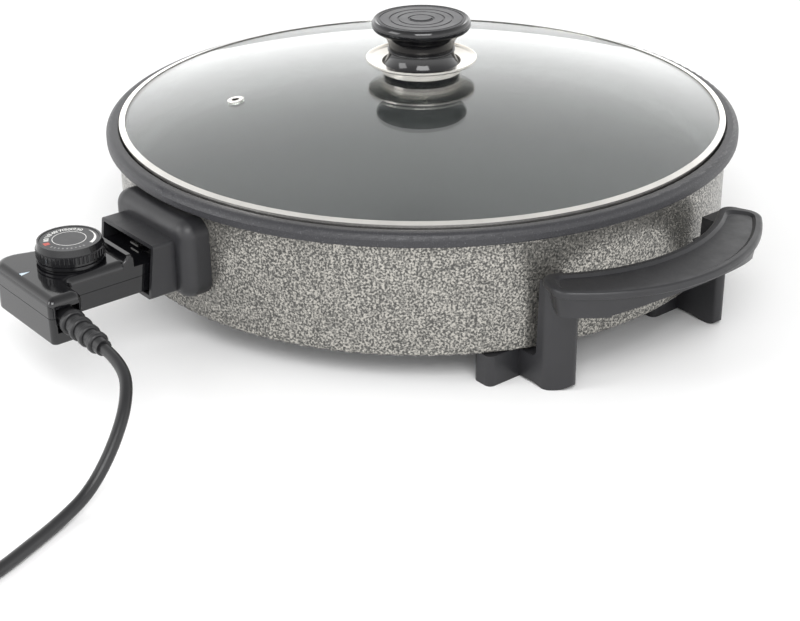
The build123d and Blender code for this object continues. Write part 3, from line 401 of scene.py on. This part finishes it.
def mains_lead(rubber):
    """The lead from the strain relief down to the table, round its coil and to the plug."""
    route = [
        lead_start,
        lead_start + boot_axis * 22.0,
        (124.0, -309.0, 42.0),
        (137.0, -327.0, 26.0),
        (143.0, -346.0, 9.5),
        (149.0, -367.0, LEAD_HEIGHT),
        (159.0, -390.0, LEAD_HEIGHT),
        (168.5, -413.0, LEAD_HEIGHT),
        (174.5, -437.0, LEAD_HEIGHT),
        (176.0, -459.0, LEAD_HEIGHT),
        *coil_points(),
        (COIL_X - 41.0, COIL_Y - COIL_RADIUS - 2.0, LEAD_HEIGHT + 4.5),
        (COIL_X - 59.0, COIL_Y - COIL_RADIUS - 3.2, LEAD_HEIGHT + 6.0),
        tail_end - plug_axis * 21.0,
        tail_end,
    ]
    curve = bpy.data.curves.new("flex", "CURVE")
    curve.dimensions = "3D"
    spline = curve.splines.new("NURBS")
    spline.points.add(len(route) - 1)
    for point, place in zip(spline.points, route):
        point.co = (*(value * MM for value in place), 1.0)
    spline.order_u = 3
    spline.use_endpoint_u = True
    spline.resolution_u = 8
    curve.bevel_depth = LEAD * MM / 2
    curve.bevel_resolution = 6
    flex = add_object("flex", curve)
    paint(rubber, flex)
    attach(flex, "controller")
    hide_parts("mains_lead", "lead_coil", "lead_tail")


# ======================================================================= Print on the dial
def strip(name, centre, height, arcs, mat):
    """Flat printed shapes: each arc is (start, end, inner and outer radius at both ends)."""
    mesh = bmesh.new()
    for start, end, first, last in arcs:
        count = max(2, round(abs(end - start) / 6))
        rows = []
        for step in range(count + 1):
            share = step / count
            angle = radians(start + (end - start) * share)
            row = []
            for index in range(2):
                radius = first[index] + (last[index] - first[index]) * share
                corner = (centre.x + radius * cos(angle), centre.y + radius * sin(angle))
                row.append([mesh.verts.new((*corner, height + lift)) for lift in (0, PRINT_HEIGHT)])
            rows.append(row)
        for (a, b), (c, d) in zip(rows, rows[1:]):
            mesh.faces.new((a[1], b[1], d[1], c[1]))
            mesh.faces.new((a[0], c[0], d[0], b[0]))
            mesh.faces.new((a[0], a[1], c[1], c[0]))
            mesh.faces.new((b[0], d[0], d[1], b[1]))
        for a, b in (rows[0], rows[-1]):
            mesh.faces.new((a[0], b[0], b[1], a[1]))
    bmesh.ops.recalc_face_normals(mesh, faces=mesh.faces)
    data = bpy.data.meshes.new(name)
    mesh.to_mesh(data)
    mesh.free()
    piece = add_object(name, data)
    paint(mat, piece)
    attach(piece, "dial")


PRINT_HEIGHT = 0.00004
DIAL_MARKS = ("80", "110", "140", "170", "200", "230")


def dial_print():
    """Plain numbers, a swelling arc, a ring and small marks on the dial's face."""
    low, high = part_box("dial_disc")
    centre = (low + high) / 2
    face = high.z
    radius = high.x - centre.x
    white = printed_ink("white_ink", (0.78, 0.78, 0.76))
    grey = printed_ink("grey_ink", (0.22, 0.22, 0.22))
    red = printed_ink("red_ink", (0.50, 0.07, 0.05))
    view_turn = 50.8
    ring = radius * 0.56
    strip("dial_ring", centre, face, [(0, 360, (ring, ring + 0.0004), (ring, ring + 0.0004))], white)
    outer = radius * 0.92
    swell = [(view_turn + 52, view_turn - 22, (outer - 0.0006, outer - 0.0003), (outer - 0.0022, outer))]
    strip("dial_arc", centre, face, swell, white)
    block = (radius * 0.72, outer)
    strip("dial_stop", centre, face, [(view_turn + 207, view_turn + 221, block, block)], red)
    tick = (radius * 0.78, radius * 0.88)
    ticks = [
        (view_turn + angle, view_turn + angle + 4, tick, tick)
        for angle in range(234, 316, 10)
    ]
    strip("dial_ticks", centre, face, ticks, grey)
    for index, mark in enumerate(DIAL_MARKS):
        angle = radians(view_turn + 190 - 22.5 * index)
        text = bpy.data.curves.new(f"dial_number_{mark}", "FONT")
        text.body = mark
        text.align_x = "CENTER"
        text.align_y = "CENTER"
        text.size = 0.0042
        text.extrude = PRINT_HEIGHT
        text.offset = 0.00006
        piece = add_object(f"dial_number_{mark}", text)
        reach = radius * 0.76
        piece.location = centre + Vector((reach * cos(angle), reach * sin(angle), 0))
        piece.location.z = face
        piece.rotation_euler = Euler((0, 0, angle - pi / 2))
        paint(white, piece)
        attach(piece, "dial")


# ======================================================================= Studio
def area_light(name, place, target, size, power):
    """A soft box at a place, turned to a target."""
    data = bpy.data.lights.new(name, "AREA")
    data.shape = "RECTANGLE"
    data.size, data.size_y = size
    data.energy = power
    lamp = add_object(name, data)
    lamp.location = place
    lamp.rotation_euler = (Vector(target) - Vector(place)).to_track_quat("-Z", "Y").to_euler()


def studio():
    """White floor, a bright surround, soft boxes and the camera."""
    mesh = bmesh.new()
    bmesh.ops.create_circle(mesh, cap_ends=True, radius=6.0, segments=96)
    data = bpy.data.meshes.new("floor")
    mesh.to_mesh(data)
    mesh.free()
    floor = add_object("floor", data)
    floor.location.z = -0.0001
    mat, tree, shader = new_material("white_floor")
    cloud = noise(tree, coordinates(tree), 0.8)
    join(tree, ramp(tree, cloud, (0.3, 0.94), (0.7, 0.96)), shader.inputs["Base Color"])
    set_inputs(shader, Roughness=0.6, Specular_IOR_Level=0.2)
    paint(mat, floor)

    world = bpy.data.worlds.new("studio")
    scene.world = world
    world.use_nodes = True
    tree = world.node_tree
    background = tree.nodes["Background"]
    place = tree.nodes.new("ShaderNodeTexCoord")
    parts = tree.nodes.new("ShaderNodeSeparateXYZ")
    join(tree, place.outputs["Generated"], parts.inputs["Vector"])
    join(
        tree,
        ramp(tree, parts.outputs["Z"], (0.0, 1.0), (0.30, 0.80), (0.55, 0.50), (1.0, 0.26)),
        background.inputs["Color"],
    )
    background.inputs["Strength"].default_value = 2.0

    area_light("key", (1.3, -0.9, 1.5), (0, 0, 0.05), (1.2, 0.9), 22)
    area_light("fill", (-0.6, -1.8, 1.1), (0, -0.1, 0.05), (0.9, 0.9), 10)
    scene.view_settings.view_transform = "Standard"

    camera = bpy.data.cameras.new("camera")
    camera.lens = 73.44
    camera.sensor_width = 36.0
    holder = add_object("camera", camera)
    holder.location = (0.80529, -0.67221, 0.47602)
    holder.rotation_euler = (radians(63.301), radians(0.521), radians(50.757))
    scene.camera = holder


rubber = paint_everything()
mains_lead(rubber)
dial_print()
studio()
